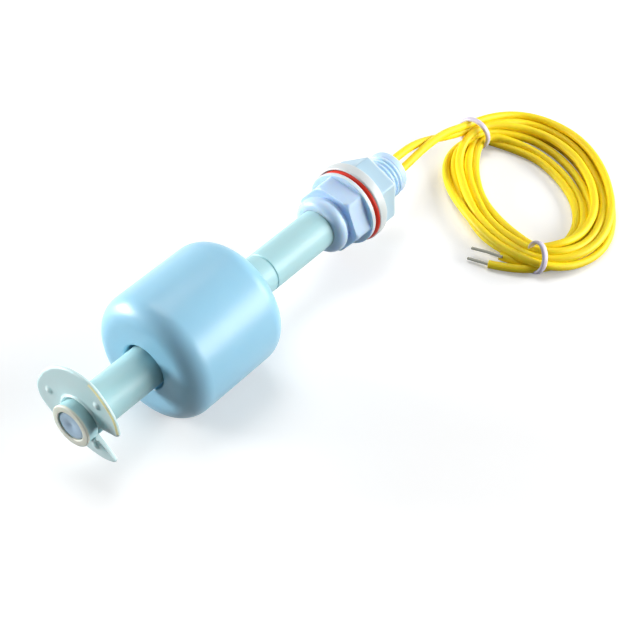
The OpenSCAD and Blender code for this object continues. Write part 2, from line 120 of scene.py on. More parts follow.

# %% [markdown]
# ## A smooth line through the points
# Insulated wire bends evenly, so the corners between the points have to go. A curve
# object would do it too. A line of close points was chosen, because the same line then
# gives the wire's length and its tube.

# %% Smooth line
def smooth(points, share=6, passes=4):
    """A dense line through the points (Catmull-Rom), with its sharp turns eased."""
    line, last = [], len(points) - 1
    for i in range(last):
        p0, p1, p2, p3 = (Vector(points[min(max(j, 0), last)]) for j in range(i - 1, i + 3))
        for k in range(share):
            t = k / share
            line.append(p1 + (p2 - p0) * (t / 2) + (2 * p0 - 5 * p1 + 4 * p2 - p3) * (t * t / 2)
                        + (3 * p1 - p0 - 3 * p2 + p3) * (t ** 3 / 2))
    line.append(Vector(points[-1]))
    for _ in range(passes):
        line = [line[0]] + [a * 0.25 + b * 0.5 + c * 0.25
                            for a, b, c in zip(line, line[1:], line[2:])] + [line[-1]]
    return line


def run_length(line):
    return sum((b - a).length for a, b in zip(line, line[1:]))


LINE_A, LINE_B = smooth(A_PATH), smooth(B_PATH)
print("leads:", round(run_length(LINE_A)), "and", round(run_length(LINE_B)), "mm")

# %% [markdown]
# ## Skins between rings
# Nearly every piece here is a skin over rings of points: a turned part, a wire, a tie.
# One function lays faces between two rings, and one turns a finished skin into a piece
# that rides on a CAD body and stands for its CAD solids. Short helpers like these keep
# each piece's own cell down to its shape.

# %% From rings to a piece
def skin(bm, one, two):
    """Faces between two closed rings with the same number of points."""
    for k in range(len(one)):
        bm.faces.new((one[k], one[k - 1], two[k - 1], two[k]))


def to_piece(name, bm, body, stands_for, smooth_angle=32):
    """Scales a mesh from millimetres to metres and ties it to its body and CAD nodes."""
    bmesh.ops.remove_doubles(bm, verts=bm.verts, dist=0.002)
    bmesh.ops.recalc_face_normals(bm, faces=bm.faces)
    bmesh.ops.scale(bm, vec=(MM, MM, MM), verts=bm.verts)
    mesh = bpy.data.meshes.new(name)
    bm.to_mesh(mesh)
    bm.free()
    mesh.shade_smooth()
    mesh.set_sharp_from_angle(angle=math.radians(smooth_angle))
    obj = bpy.data.objects.new(name, mesh)
    bpy.context.scene.collection.objects.link(obj)
    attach(obj, body)
    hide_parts(*stands_for)
    print(name, len(mesh.polygons), "faces")
    return obj


print("1 mm becomes", MM, "m")

# %% [markdown]
# ## The two leads
# Each lead is a round tube of soft insulation. The rings turn as little as they can from
# one to the next, so the skin never twists.

# %% Leads
def tube(bm, line, radius, sides=16, side=(0, 1, 0)):
    """A round tube about a line, with closed ends. side is where each ring starts."""
    side, rings, last = Vector(side), [], len(line) - 1
    turns = [2 * math.pi * k / sides for k in range(sides)]
    for i, p in enumerate(line):
        ahead = (line[min(i + 1, last)] - line[max(i - 1, 0)]).normalized()
        side = (side - ahead * side.dot(ahead)).normalized()
        other = ahead.cross(side)
        rings.append([bm.verts.new(p + (side * math.cos(t) + other * math.sin(t)) * radius)
                      for t in turns])
    for one, two in zip(rings, rings[1:]):
        skin(bm, one, two)
    bm.faces.new(rings[0])
    bm.faces.new(rings[-1][::-1])


def lead(name, line, nodes):
    bm = bmesh.new()
    tube(bm, line, LEAD_WIDE / 2)
    return to_piece(name, bm, "switch_body", nodes, 50)


lead_a = lead("lead_a_run", LINE_A, ["lead_a", "tail_a", "lead_coil"])
lead_b = lead("lead_b_run", LINE_B, ["lead_b", "tail_b", "lead_coil"])

# %% [markdown]
# ## Colour and nodes
# Colours are picked as sRGB hex codes, the way a paint card or a picture gives them, and
# the shader wants linear numbers, so one function turns them. Another adds a node with
# its settings and links. With these two, a finish reads like a short recipe.

# %% Colour and node helpers
def linear(code, share=1.0):
    """An sRGB hex code as a linear colour, darkened to a share of its written values."""
    parts = [int(code[i:i + 2], 16) / 255 * share for i in (1, 3, 5)]
    return [v / 12.92 if v < 0.04045 else ((v + 0.055) / 1.055) ** 2.4 for v in parts] + [1]


def add(tree, kind, inputs=None, **settings):
    """Adds a node. Its inputs, by name or number, take plain values or other sockets."""
    node = tree.nodes.new(kind)
    for key, value in settings.items():
        setattr(node, key, value)
    for key, value in (inputs or {}).items():
        if isinstance(value, bpy.types.NodeSocket):
            tree.links.new(value, node.inputs[key])
        else:
            node.inputs[key].default_value = value
    return node


print("sky blue in linear light:", [round(v, 3) for v in linear("#9AD0EA")[:3]])

# %% [markdown]
# ## Bands of another tint
# Moulded plastic isn't the same colour all along: a lip that was warmed goes cream, and a
# thin flange is painted paler, as painted light showing through it. A band lies between two
# stations along the stem, with soft ends, so it needs only the place along X.

# %% Bands
def banded(tree, where, colour, first, last, soft, tint):
    """Lays a band of a tint over a colour, from one station to another."""
    along = add(tree, "ShaderNodeSeparateXYZ", {"Vector": where}).outputs["X"]
    begin, end = (add(tree, "ShaderNodeMapRange",
                      {"Value": along, "From Min": (outer - HALF_LONG) * MM,
                       "From Max": (inner - HALF_LONG) * MM},
                      interpolation_type="SMOOTHSTEP").outputs["Result"]
                  for outer, inner in ((first - soft, first), (last + soft, last)))
    share = add(tree, "ShaderNodeMath", {0: begin, 1: end}, operation="MULTIPLY").outputs[0]
    return add(tree, "ShaderNodeMix", {0: share, 6: colour, 7: linear(tint)},
               data_type="RGBA").outputs[2]


print("a band's ends are measured from x =", -HALF_LONG, "mm")

# %% [markdown]
# ## Painted edge highlights
# Sharp edges of a moulding catch the light and look pale, so a highlight is painted there. How pointed
# the mesh is at a place says where an edge is, and the painted tint climbs with it.

# %% Painted edge highlights
POINTED_FROM, POINTED_TO, PAINTED_HIGHLIGHT_MOST = 0.52, 0.62, 0.8


def painted_edge_highlights(tree, colour, tint):
    # painted highlight: the colour turns to a pale tint along sharp edges
    point = add(tree, "ShaderNodeNewGeometry").outputs["Pointiness"]
    highlight_share = add(tree, "ShaderNodeMapRange",
               {"Value": point, "From Min": POINTED_FROM, "From Max": POINTED_TO,
                "To Max": PAINTED_HIGHLIGHT_MOST}, interpolation_type="SMOOTHSTEP").outputs["Result"]
    return add(tree, "ShaderNodeMix", {0: highlight_share, 6: colour, 7: linear(tint)},
               data_type="RGBA").outputs[2]


print("edges take up to", PAINTED_HIGHLIGHT_MOST, "of their rubbed tint")

# %% [markdown]
# ## What all the surfaces share
# Moulded and drawn surfaces look plain, but never dead flat: the colour drifts a little
# over some 9 mm, where the melt cooled unevenly, and a fine skin grain breaks up the
# gloss. The real grain is some 0.05 mm. That is too fine to show, so it is drawn 0.6 mm
# wide and very shallow. Roughness follows the same grain, 15 % up and down.

# %% Surface recipe
DRIFT_WIDE = 9.0


def surface(name, code, rough, ior=None, grain=0.6, bump=0.02, drift=0.03,
            bands=(), painted_highlight=None, **shader):
    """bands are (first station, last station, softness, tint). shader sets sockets."""
    mat = bpy.data.materials.new(name)
    mat.use_nodes = True
    tree = mat.node_tree
    where = add(tree, "ShaderNodeTexCoord").outputs["Object"]
    fine, broad = (add(tree, "ShaderNodeTexNoise", {"Vector": where, "Scale": 1 / (wide * MM),
                                                    "Detail": detail}).outputs["Fac"]
                   for wide, detail in ((grain, 3.0), (DRIFT_WIDE, 1.0)))
    colour = add(tree, "ShaderNodeMix", {0: broad, 6: linear(code, 1 - drift), 7: linear(code)},
                 data_type="RGBA").outputs[2]
    for band in bands:
        colour = banded(tree, where, colour, *band)
    # painted highlight along the sharp edges
    if painted_highlight:
        colour = painted_edge_highlights(tree, colour, painted_highlight)
    gloss = add(tree, "ShaderNodeMapRange", {"Value": fine, "To Min": rough * 0.85,
                                             "To Max": min(1, rough * 1.15)}).outputs["Result"]
    relief = add(tree, "ShaderNodeBump", {"Height": fine, "Strength": 0.3,
                                          "Distance": bump * MM}).outputs["Normal"]
    bsdf = tree.nodes["Principled BSDF"]
    for key, socket in (("Base Color", colour), ("Roughness", gloss), ("Normal", relief)):
        tree.links.new(socket, bsdf.inputs[key])
    if ior:
        bsdf.inputs["IOR"].default_value = ior
    for key, value in shader.items():
        bsdf.inputs[key.replace("_", " ")].default_value = value
    print("finish:", name, "with", len(tree.nodes), "nodes")
    return mat


# %% [markdown]
# ## Lead PVC, extruded
# Wire insulation is drawn through a die, so it is even and half glossy, with a slow
# waviness some 1.2 mm long from the screw behind the die. PVC lets some light in, and
# yellow turns orange where the light has come through it: that is why the gaps between
# the turns are warm and not grey.

# %% Lead finish
lead_pvc = surface("lead PVC, extruded", "#FFE20E", 0.5, 1.45, grain=1.2, bump=0.008,
                   Subsurface_Weight=0.3, Subsurface_Scale=0.8 * MM,
                   Subsurface_Radius=(1.0, 0.4, 0.05))
lead_a.data.materials.append(lead_pvc)
lead_b.data.materials.append(lead_pvc)

# %% [markdown]
# ## Turned shapes
# Stem, float, fitting and nut are all round about the stem's axis, even the hexagons: a
# hexagon is a radius that changes with the angle. So a piece is a profile of stations
# and radii, carried once round the axis. Subdivided cylinders could be cut into the same
# shapes, but a profile keeps each step and round at its measured place.

# %% Turning tools
def axial(station, radius, angle):
    """A point about the stem's axis, in millimetres. Angle 0 hangs down, 90 is +Y."""
    a = math.radians(angle)
    return (station - HALF_LONG, radius * math.sin(a), AXIS_HIGH - radius * math.cos(a))


def turned(bm, profile, segments=144, closed=True, corner=None):
    """Carries a profile [(station, radius or function of angle)] round the axis. With
    corner, the six corners from that angle on get points of their own."""
    angles = [360 * k / segments for k in range(segments)]
    if corner is not None:
        near = (-0.9, -0.4, 0.4, 0.9)
        angles = sorted([corner + v for v in angles]
                        + [corner + 60 * k + v for k in range(6) for v in near])
    rings = [[bm.verts.new(axial(s, r(v) if callable(r) else r, v)) for v in angles]
             for s, r in profile]
    for one, two in zip(rings, rings[1:] + rings[:1] if closed else rings[1:]):
        skin(bm, one, two)


def rounding(s, r, radius, start, end, steps=6):
    """Profile points on a round about (s, r). Angle 0 points along the axis, 90 outwards."""
    angles = [math.radians(start + (end - start) * i / steps) for i in range(steps + 1)]
    return [(s + radius * math.cos(a), r + radius * math.sin(a)) for a in angles]


print("the axis at the free end:", axial(0, 0, 0), "mm")

# %% [markdown]
# ## The stem
# The stem is a drawn tube. Its free end was pressed flat on a warm plate, so the lip is a
# little wide, and behind it runs the groove that the clip snaps into. A fine ring groove
# half way may mark where the tube was held. All of it is one profile.

# %% Stem
stem_profile = ([(0.1, 2.9), (0.0, 3.0)] + rounding(0.25, 3.97, 0.25, 180, 70, 5)
                + [(0.7, 4.12), (1.3, 4.0)]                       # lip
                + [(2.6, 4.0), (2.6, 3.4), (3.6, 3.4), (3.6, 4.0)]  # clip groove
                + [(49.7, 4.0), (49.85, 3.78), (50.15, 3.78), (50.3, 4.0)]  # ring groove
                + [(71.4, 4.0), (71.4, 2.76)])                    # into the fitting's socket
bm = bmesh.new()
turned(bm, stem_profile)
stem = to_piece("stem", bm, "switch_body", ["stem_tube"])

# %% [markdown]
# ## The end plug
# A small moulded stopper closes the stem. Its face sits just behind the lip and dips in
# the middle, where the plastic shrank at the gate.

# %% End plug
plug_profile = ([(0.5, 0.0), (0.42, 0.4), (0.28, 0.9), (0.2, 1.6)]
                + rounding(0.45, 2.5, 0.25, 180, 90, 4) + [(4.0, 2.75), (4.0, 0.0)])
bm = bmesh.new()
turned(bm, plug_profile, 96, closed=False)
plug = to_piece("end_plug", bm, "switch_body", ["stem_end_plug"])

# %% [markdown]
# ## Polypropylene for stem and plug
# Natural polypropylene is milky: light sinks in, spreads and comes out again, so edges
# glow a little and shadows stay soft. Subsurface scattering does that. The drawn stem is
# aqua and half matt, and its pressed lip has aged to cream. The plug is bluer.

# %% Stem and plug finish
def milky(depth=1.5, weight=0.25, colours=(0.6, 0.85, 1.0)):
    """How far light sinks into a plastic, in millimetres, and how much of it does."""
    return {"Subsurface_Weight": weight, "Subsurface_Scale": depth * MM,
            "Subsurface_Radius": colours}


PP = 1.49  # how strongly polypropylene bends light
stem.data.materials.append(surface(
    "stem polypropylene, extruded", "#B2DCE1", 0.44, PP, drift=0.05,
    bands=[(-1, 0.3, 0.4, "#DCDFD0")], **milky(2.0, 0.4)))
plug.data.materials.append(surface(
    "end plug polypropylene, moulded", "#A6C4DC", 0.4, PP, **milky()))

# %% [markdown]
# ## The outline of the clip
# The clip keeps the float on the stem. It is a thin moulded disc that is open on one
# side, so that it can be pushed over the groove, and it isn't round: a wide lobe, then a
# narrow tail. Its edge is a table of angles and radii with a smooth curve through it,
# which holds the odd outline better than a circle cut by hand.

# %% Clip outline
SLOT_FROM, SLOT_TO = 36, 350  # the disc fills these angles, and the wedge is the rest
RIM = [(30, 9.9), (42, 9.45), (56, 8.6), (70, 7.75), (88, 7.1), (115, 7.0), (140, 7.8),
       (158, 9.3), (170, 10.4), (184, 10.75), (200, 10.4), (222, 10.17), (245, 10.34),
       (270, 10.5), (287, 10.42), (304, 9.85), (325, 9.53), (342, 9.1), (356, 8.9)]
TIP = 0.6  # round of the two tips beside the slot


def rim_radius(a):
    """The edge's radius at an angle: a smooth curve through the table, tips rounded."""
    i = max(1, min(len(RIM) - 3, sum(1 for t, _ in RIM if t <= a) - 1))
    (t0, r0), (t1, r1), (t2, r2), (t3, r3) = RIM[i - 1:i + 3]
    f = (a - t1) / (t2 - t1)
    rise1 = (r2 - r0) / (t2 - t0) * (t2 - t1)
    rise2 = (r3 - r1) / (t3 - t1) * (t2 - t1)
    r = ((2 * f ** 3 - 3 * f * f + 1) * r1 + (f ** 3 - 2 * f * f + f) * rise1
         + (3 * f * f - 2 * f ** 3) * r2 + (f ** 3 - f * f) * rise2)
    gap = r * math.sin(math.radians(min(a - SLOT_FROM, SLOT_TO - a, 90)))
    if gap < TIP:
        r -= TIP - math.sqrt(max(0, TIP ** 2 - (TIP - gap) ** 2))
    return r


print("clip reaches", round(max(rim_radius(a) for a in range(SLOT_FROM, SLOT_TO)), 1), "mm")

# %% [markdown]
# ## The clip's face
# A raised bead stiffens the disc round its hole, and three small nubs are what is left
# of the ejector pins. Bead and nubs could be rings and balls laid on the disc, but light
# that sinks in would show where they overlap. So they are heights of the one face.

# %% Clip face
CLIP_FACE, CLIP_HALF = 2.63, 0.42   # front face's station, half the thickness
HOLE = 3.45
BEAD_AT, BEAD_WIDE, BEAD_HIGH = 4.5, 0.27, 0.34
NUBS = [(-7.5, -1.5), (4.1, -6.1), (3.1, 4.7)]
NUB_WIDE, NUB_HIGH = 0.85, 0.36
FACE_STEPS = 34


def proud(r, a):
    """How far the bead and the nubs stand above the face."""
    high = BEAD_HIGH * math.exp(-((r - BEAD_AT) / BEAD_WIDE) ** 4)
    x, y = r * math.cos(math.radians(a)), r * math.sin(math.radians(a))
    for nub_x, nub_y in NUBS:
        d = math.hypot(x - nub_x, y - nub_y) / NUB_WIDE
        if d < 1:
            high = max(high, NUB_HIGH * math.cos(math.pi / 2 * d))
    return high


def section(a):
    """The clip cut at one angle: its front face, its round edge and the hole's back."""
    r, middle = rim_radius(a) - CLIP_HALF, CLIP_FACE + CLIP_HALF
    face = [HOLE + (r - 0.05 - HOLE) * k / (FACE_STEPS - 1) for k in range(FACE_STEPS)]
    front = [(CLIP_FACE - proud(v, a), v) for v in face]
    edge = [math.radians(t) for t in range(0, 181, 20)]
    rim = [(middle - CLIP_HALF * math.cos(t), r + CLIP_HALF * math.sin(t)) for t in edge]
    return front + rim + [(CLIP_FACE + 2 * CLIP_HALF, HOLE)]


print("clip section:", len(section(180)), "points")

# %% [markdown]
# ## The clip's mesh
# The cut section goes round from one side of the slot to the other, with its columns
# closer together at the tips. The faces of a thin line on the front edge take a second
# material, a paler cream: painted light, for the glow through the thin edge.

# %% Clip
CLIP_TURN = 274    # turns the clip's own angles to where the slot points
COLUMNS = 240
CROWDED = 0.64     # how much closer the columns stand at the tips

bm = bmesh.new()
columns, angles = [], []
for i in range(COLUMNS + 1):
    t = i / COLUMNS
    t -= CROWDED * math.sin(2 * math.pi * t) / (2 * math.pi)
    angles.append(SLOT_FROM + (SLOT_TO - SLOT_FROM) * t)
    columns.append([bm.verts.new(axial(s, r, angles[-1] + CLIP_TURN))
                    for s, r in section(angles[-1])])
for a, one, two in zip(angles, columns, columns[1:]):
    for k in range(len(one)):
        j = (k + 1) % len(one)
        face = bm.faces.new((one[k], one[j], two[j], two[k]))
        # painted light: these front-edge faces take the paler cream finish for light glowing through
        # the thin edge
        painted_glow = 283 < a < 346 and FACE_STEPS - 1 <= k < FACE_STEPS + 3
        face.material_index = 1 if painted_glow else 0
bm.faces.new(columns[0])
bm.faces.new(columns[-1][::-1])
clip = to_piece("clip", bm, "switch_body", ["retaining_clip"], 40)
soft = clip.modifiers.new("edges", "BEVEL")
soft.width = 0.12 * MM
soft.segments = 2
soft.limit_method = "ANGLE"
soft.angle_limit = math.radians(50)

# %% [markdown]
# ## Polypropylene for the clip
# At 0.84 mm the same plastic is nearly clear, so much more of its light sinks in. A
# fine cream line on the front edge is painted paler than the disc, as painted light glowing through
# the thin edge.

# %% Clip finish
clip.data.materials.append(surface(
    "clip polypropylene, moulded thin", "#CDE4E6", 0.38, PP,
    **milky(1.2, 0.7, (0.85, 1.0, 1.0))))
# painted light: paler and creamier than the disc, for the glow through the thin edge
clip.data.materials.append(surface(
    "clip polypropylene, yellowed edge", "#F6F3CC", 0.4, PP,
    **milky(1.2, 1.0, (1.0, 1.0, 0.9))))

# %% [markdown]
# ## The float
# The float is a hollow moulding with big soft rounds, and a fine seam on its rear face
# where the end cap was welded on. It stays one skin, because the weld is flush. Its bore
# has rounded mouths, so it never catches on the stem.

# %% Float
FLOAT_FROM, FLOAT_TO, FLOAT_R, FLOAT_ROUND = 17.9, 43.0, 12.75, 4.3
BORE, MOUTH, SEAM = 4.6, 0.5, 8.22
body_r = FLOAT_R - FLOAT_ROUND
float_profile = (rounding(FLOAT_FROM + MOUTH, BORE + MOUTH, MOUTH, 270, 180)
                 + rounding(FLOAT_FROM + FLOAT_ROUND, body_r, FLOAT_ROUND, 180, 90, 12)
                 + rounding(FLOAT_TO - FLOAT_ROUND, body_r, FLOAT_ROUND, 90, 0, 12)
                 + [(FLOAT_TO, SEAM + 0.08), (FLOAT_TO - 0.12, SEAM), (FLOAT_TO, SEAM - 0.08)]
                 + rounding(FLOAT_TO - MOUTH, BORE + MOUTH, MOUTH, 0, -90))
bm = bmesh.new()
turned(bm, float_profile, 160)
float_piece = to_piece("float", bm, "float", ["float_shell", "float_cap"])

# %% [markdown]
# ## Polypropylene for the float
# Moulded in a polished tool, so it is the glossiest plastic here: wide, soft-edged
# highlights on sky blue.

# %% Float finish
float_piece.data.materials.append(surface(
    "float polypropylene, moulded", "#9AD0EA", 0.33, PP, **milky(2.0, 0.3)))

# %% [markdown]
# ## Hexagons
# A moulded hexagon has flat sides and corners that are a little eased. As a radius by
# angle it needs only the width over its flats, and a smooth minimum with a circle rounds
# the corners and turns the chamfers at its ends.

# %% Hexagon
def eased(r, top, k):
    """The smaller of two radii, blended over about k millimetres."""
    return -k * math.log(math.exp((top - r) / k) + 1) + top


def hexagon(flats, turn, limit=99.0, k=0.04):
    """Radius of a hexagon by angle. Its corners stop at the limit, a little eased."""
    top = min(limit, flats / math.sqrt(3) - 0.08)

    def radius(a):
        from_corner = 30 - abs((a - turn + 30) % 60 - 30)
        return eased(flats / 2 / math.cos(math.radians(from_corner)), top, k)
    return radius


print("a 13 mm hexagon over its corners:", round(2 * hexagon(13, 0)(0), 2), "mm")

# %% [markdown]
# ## The thread
# The shank carries a moulded thread with rounded ridges, counted at 1 mm apart in the
# photo. It is a true right-handed helix: the ridge's phase depends on both the station
# and the angle. It fades at both ends, as a moulded thread does.

# %% Thread
PITCH = 1.0
CREST, ROOT = 4.75, 4.35
THREAD_FROM, THREAD_TO, FADE = 76.2, 88.4, 0.8
THREAD_STEPS = 146


def thread(s):
    """Radius by angle at one station of the thread."""
    fade = min(1, (s - THREAD_FROM) / FADE, (THREAD_TO - s) / FADE)
    crest, root = CREST - 0.15 * (1 - fade), ROOT + 0.25 * (1 - fade)

    def radius(a):
        ridge = 0.5 + 0.5 * math.cos(2 * math.pi * ((s / PITCH - a / 360) % 1))
        return root + (crest - root) * min(1, 1.25 * ridge ** 0.9)
    return radius


thread_profile = [(s, thread(s)) for s in
                  (THREAD_FROM + (THREAD_TO - THREAD_FROM) * i / THREAD_STEPS
                   for i in range(THREAD_STEPS + 1))]
print("thread:", len(thread_profile), "stations")

# %% [markdown]
# ## The fitting
# One moulding holds the stem and goes through the tank's wall. From the stem outwards it
# has a round collar, a neck, a hexagon for a spanner, a thin flange and the shank.

# %% Fitting
FIT_FLATS, FIT_TURN = 12.8, 38.7
collar = rounding(68.2, 4.3, 1.6, 180, 90, 8) + rounding(68.55, 5.75, 0.15, 90, 0, 3)
neck = [(68.7, 5.4)] + rounding(68.9, 5.45, 0.2, 180, 270, 3) + [(70.0, 5.25)]
hex_part = [(s, hexagon(FIT_FLATS, FIT_TURN, limit))
            for s, limit in ((70.0, 6.8), (70.12, 6.98), (70.35, 7.15), (70.7, 99.0), (74.0, 99.0))]
hex_part += [(74.2, hexagon(FIT_FLATS + 0.2, FIT_TURN))]
flange = rounding(74.35, 7.55, 0.15, 180, 90, 3) + rounding(75.05, 7.55, 0.15, 90, 0, 3)
shank = [(75.2, CREST)] + thread_profile + [(88.6, 4.6)] + rounding(89.2, 3.6, 1.0, 90, 0)
inside = [(90.2, 3.15), (71.6, 3.15), (71.6, 4.04), (66.6, 4.04)]
bm = bmesh.new()
turned(bm, collar + neck + hex_part + flange + shank + inside, 180, corner=FIT_TURN)
fitting = to_piece("fitting", bm, "switch_body", ["fitting_body"])

# %% [markdown]
# ## Polypropylene for the fitting
# A thick moulding in pale violet blue: light travels far in it, and blue travels
# furthest, so its shaded sides stay bright and blue. The flange's thin rim is painted paler, as
# painted light on the thin rim, and the hexagon's edges get painted highlights.

# %% Fitting finish
# painted light: the band from 74.5 to 75.3 paints the flange's thin rim paler, and the edge tint
# paints highlights on the hexagon's edges
fitting.data.materials.append(surface(
    "fitting polypropylene, moulded", "#C2DCFC", 0.4, PP, bands=[(74.5, 75.3, 0.3, "#D6E3F2")],
    painted_highlight="#DDE9F8", **milky(3.0, 0.6, (0.35, 0.65, 1.0))))

# %% [markdown]
# ## The O-ring
# A soft ring seals the hole in the tank's wall. It sits in the recess of the nut's
# flange and shows as a thin red line that is a little off centre, pushed there by hand.

# %% O-ring
RING_AT, RING_R, RING_THICK = 76.08, 6.95, 0.85
bm = bmesh.new()
turned(bm, rounding(RING_AT, RING_R, RING_THICK, 0, 345, 23), 120)
bmesh.ops.translate(bm, verts=bm.verts, vec=(0, -0.25, -0.06))
seal = to_piece("seal_ring", bm, "seal", ["o_ring"])

# %% [markdown]
# ## Silicone, moulded
# Silicone rubber is nearly opaque and soft to the eye: a broad, dull highlight on a
# strong red.

# %% O-ring finish
seal.data.materials.append(surface(
    "silicone, moulded", "#D22606", 0.48, 1.4, bump=0.01))

# %% [markdown]
# ## The nut
# The nut has a wide flange with a hollow front face, where the O-ring lies, and a hexagon
# whose rear corners are turned down. Its bore is plain, because the thread inside can't
# be seen.

# %% Nut
NUT_FLATS, NUT_TURN, NUT_BORE = 13.2, -2.5, 4.83
nut_flange = rounding(76.46, 7.8, 0.4, 180, 90) + rounding(78.01, 7.7, 0.5, 90, 0)
nut_hex = [(78.51, hexagon(NUT_FLATS + 0.2, NUT_TURN)), (78.7, hexagon(NUT_FLATS, NUT_TURN)),
           (82.4, hexagon(NUT_FLATS, NUT_TURN))]
nut_hex += [(s, hexagon(flats, NUT_TURN, limit)) for s, flats, limit in
            ((82.8, 13.1, 7.5), (83.1, 12.85, 7.3), (83.3, 12.5, 7.1), (83.41, 12.1, 6.9))]
nut_bore = [(83.41, 5.0), (83.25, NUT_BORE), (76.96, NUT_BORE), (76.96, 7.8), (76.06, 7.8)]
bm = bmesh.new()
turned(bm, nut_flange + nut_hex + nut_bore, 180, corner=NUT_TURN)
nut = to_piece("nut", bm, "nut", ["flange_nut"])

# %% [markdown]
# ## Polypropylene for the nut
# The nut comes from another batch than the fitting, greener and a little duller. Its
# flange and its turned-down end are painted a paler grey: painted light and shade for the thin
# flange with shade by the O-ring, and for the light on the rounded end. Its edges get painted
# highlights.

# %% Nut finish
# painted light and shade: the two bands paint the flange and the turned-down end a paler grey, and the
# edge tint paints highlights on the edges
nut.data.materials.append(surface(
    "nut polypropylene, moulded", "#AFCCDC", 0.38, PP,
    bands=[(75.9, 78.3, 0.3, "#CFD6D7"), (83.0, 84, 0.4, "#CBD8D8")],
    painted_highlight="#DFEDF0", **milky()))

# %% [markdown]
# ## The ties
# Two soft plastic rings hold the coil's turns together. Each is a strip with rounded
# edges round an oval, given by its centre and its two half axes. The ovals stand across
# the wires, which a plain torus turned by hand would only roughly do.

# %% Ties
TIE_THICK, TIE_WIDE = 0.4, 0.6   # half sizes of the strip
TIE_STEPS, STRIP_SIDES = 80, 16


def tie(name, centre, first, second, node):
    one, two = Vector(first), Vector(second)
    across = one.cross(two).normalized()
    strip = []
    for k in range(STRIP_SIDES):
        c, s = (f(2 * math.pi * k / STRIP_SIDES) for f in (math.cos, math.sin))
        strip.append((TIE_THICK * math.copysign(abs(c) ** 0.7, c),
                      TIE_WIDE * math.copysign(abs(s) ** 0.7, s)))
    bm, rings = bmesh.new(), []
    for i in range(TIE_STEPS):
        c, s = (f(2 * math.pi * i / TIE_STEPS) for f in (math.cos, math.sin))
        middle = Vector(centre) + (one * (c * (1 - TIE_THICK / one.length))
                                   + two * (s * (1 - TIE_THICK / two.length)))
        out = (one * (c / one.length ** 2) + two * (s / two.length ** 2)).normalized()
        rings.append([bm.verts.new(middle + out * p + across * q) for p, q in strip])
    for one_ring, next_ring in zip(rings, rings[1:] + rings[:1]):
        skin(bm, one_ring, next_ring)
    return to_piece(name, bm, "switch_body", [node], 60)


tie_upper = tie("upper_tie", (76.8, 0.35, 3.85), (0, 4.0, 0), (0, 0, 3.8), "tie_upper")
tie_lower = tie("lower_tie", (50.7, -32.45, 3.25), (1.81, 1.45, 2.48), (-0.5, -2.4, 1.75),
                "tie_lower")

# %% [markdown]
# ## Soft PVC, extruded
# White with a breath of violet, half matt. A little light goes through the thin strip.

# %% Tie finish
tie_pvc = surface("soft PVC, extruded", "#DAD2E4", 0.42, 1.5, **milky(0.6, 0.3))
tie_upper.data.materials.append(tie_pvc)
tie_lower.data.materials.append(tie_pvc)

# %% [markdown]
# ## The stripped ends
# Under the insulation are seven thin wires, one straight in the middle and six laid
# round it, one turn in 5 mm. Modelled as wires, they catch the light as a real strand
# does, which a striped cylinder would not.

# %% Conductors
WIRES, WIRE_R, LAY_R, LAY, STRAND_STEPS = 7, 0.11, 0.21, 5.0, 40
UP = Vector((0, 0, 1))


def strand(name, points, node):
    points = [Vector(p) for p in points]
    middle = []
    for i in range(STRAND_STEPS + 1):
        t = i / STRAND_STEPS * (len(points) - 1)
        k = min(int(t), len(points) - 2)
        middle.append(points[k].lerp(points[k + 1], t - k))
    bm = bmesh.new()
    for wire in range(WIRES):
        line, run = [], 0.0
        for i, p in enumerate(middle):
            before, after = middle[max(i - 1, 0)], middle[min(i + 1, STRAND_STEPS)]
            run += (p - before).length
            ahead = (after - before).normalized()
            flat = ahead.cross(UP).normalized()
            turn = 2 * math.pi * (run / LAY + wire / (WIRES - 1))
            out = flat * math.cos(turn) + flat.cross(ahead) * math.sin(turn)
            line.append(p + out * (LAY_R if wire else 0))
        tube(bm, line, WIRE_R, 8, UP)
    return to_piece(name, bm, "switch_body", [node], 60)


strands_a = strand("strands_a", [(47.4, -26.6, 2.4), (47.0, -23.0, 2.2), (46.4, -19.9, 1.9)],
                   "conductor_a")
strands_b = strand("strands_b", [(45.3, -25.0, 1.0), (44.9, -22.4, 0.8), (44.5, -20.3, 0.7)],
                   "conductor_b")

# %% [markdown]
# ## Copper, drawn and tinned
# A tin coat makes copper wire grey and half bright. It is a metal through and through.
# Its drawing marks are some 0.01 mm wide and only roughen the shine, so their grain is
# drawn 0.15 mm wide, the finest that still breaks up a highlight here.

# %% Conductor finish
tinned = surface("copper, drawn and tinned", "#8E8E84", 0.35, grain=0.15, Metallic=1.0)
strands_a.data.materials.append(tinned)
strands_b.data.materials.append(tinned)

# %% [markdown]
# ## The cords' facts
# Each lead's length, measured along its smooth line, is printed.

# %% Cords
for obj, line, bare in ((lead_a, LINE_A, strands_a), (lead_b, LINE_B, strands_b)):
    print(obj.name, round(run_length(line)), "mm")

# %% [markdown]
# ## Inside the stem and the float
# A reed in glass, its wires, solder, sleeves, potting and the ring magnet are hidden,
# and their CAD shapes are right as they are. They get the finishes of what they are
# made of, in case a cut or an open view shows them. Metals keep the default IOR.

